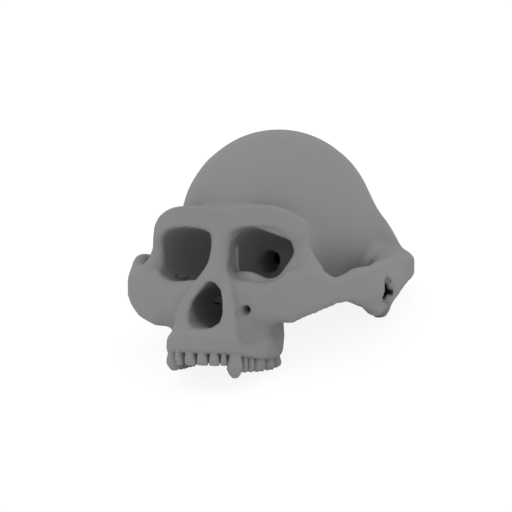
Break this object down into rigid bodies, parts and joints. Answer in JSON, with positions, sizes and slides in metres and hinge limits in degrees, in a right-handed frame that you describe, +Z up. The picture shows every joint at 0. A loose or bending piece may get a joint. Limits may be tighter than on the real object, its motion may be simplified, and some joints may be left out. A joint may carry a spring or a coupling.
{
  "type": "hominid skull cast",
  "caption": "Grey teaching cast of an early hominid cranium with upper teeth and no lower jaw, separable into bones along its sutures; it rests on its molars and mastoid tips.",
  "frame": {"origin": "middle of the bounding box, on the table plane that the cast rests on", "axes": "+X to the skull's left, +Y to its back, +Z up; the face looks towards -Y"},
  "size_m": [0.1642, 0.2126, 0.124],
  "materials": {
    "cast_resin": "matte"
  },
  "bodies": {
    "root": {"occipital": "cast_resin", "parietal_left": "cast_resin", "parietal_right": "cast_resin", "frontal": "cast_resin", "sphenoid": "cast_resin", "temporal_left": "cast_resin", "temporal_right": "cast_resin", "zygomatic_left": "cast_resin", "zygomatic_right": "cast_resin", "nasal_left": "cast_resin", "nasal_right": "cast_resin", "ethmoid": "cast_resin", "lacrimal_left": "cast_resin", "lacrimal_right": "cast_resin", "palatine_left": "cast_resin", "palatine_right": "cast_resin", "maxilla_left": "cast_resin", "maxilla_right": "cast_resin", "vomer": "cast_resin", "inferior_concha_left": "cast_resin", "inferior_concha_right": "cast_resin", "central_incisor_left": "cast_resin", "lateral_incisor_left": "cast_resin", "canine_left": "cast_resin", "first_premolar_left": "cast_resin", "second_premolar_left": "cast_resin", "first_molar_left": "cast_resin", "second_molar_left": "cast_resin", "third_molar_left": "cast_resin", "central_incisor_right": "cast_resin", "lateral_incisor_right": "cast_resin", "canine_right": "cast_resin", "first_premolar_right": "cast_resin", "second_premolar_right": "cast_resin", "first_molar_right": "cast_resin", "second_molar_right": "cast_resin", "third_molar_right": "cast_resin", "extra_incisor_left": "cast_resin"}
  },
  "joints": []
}
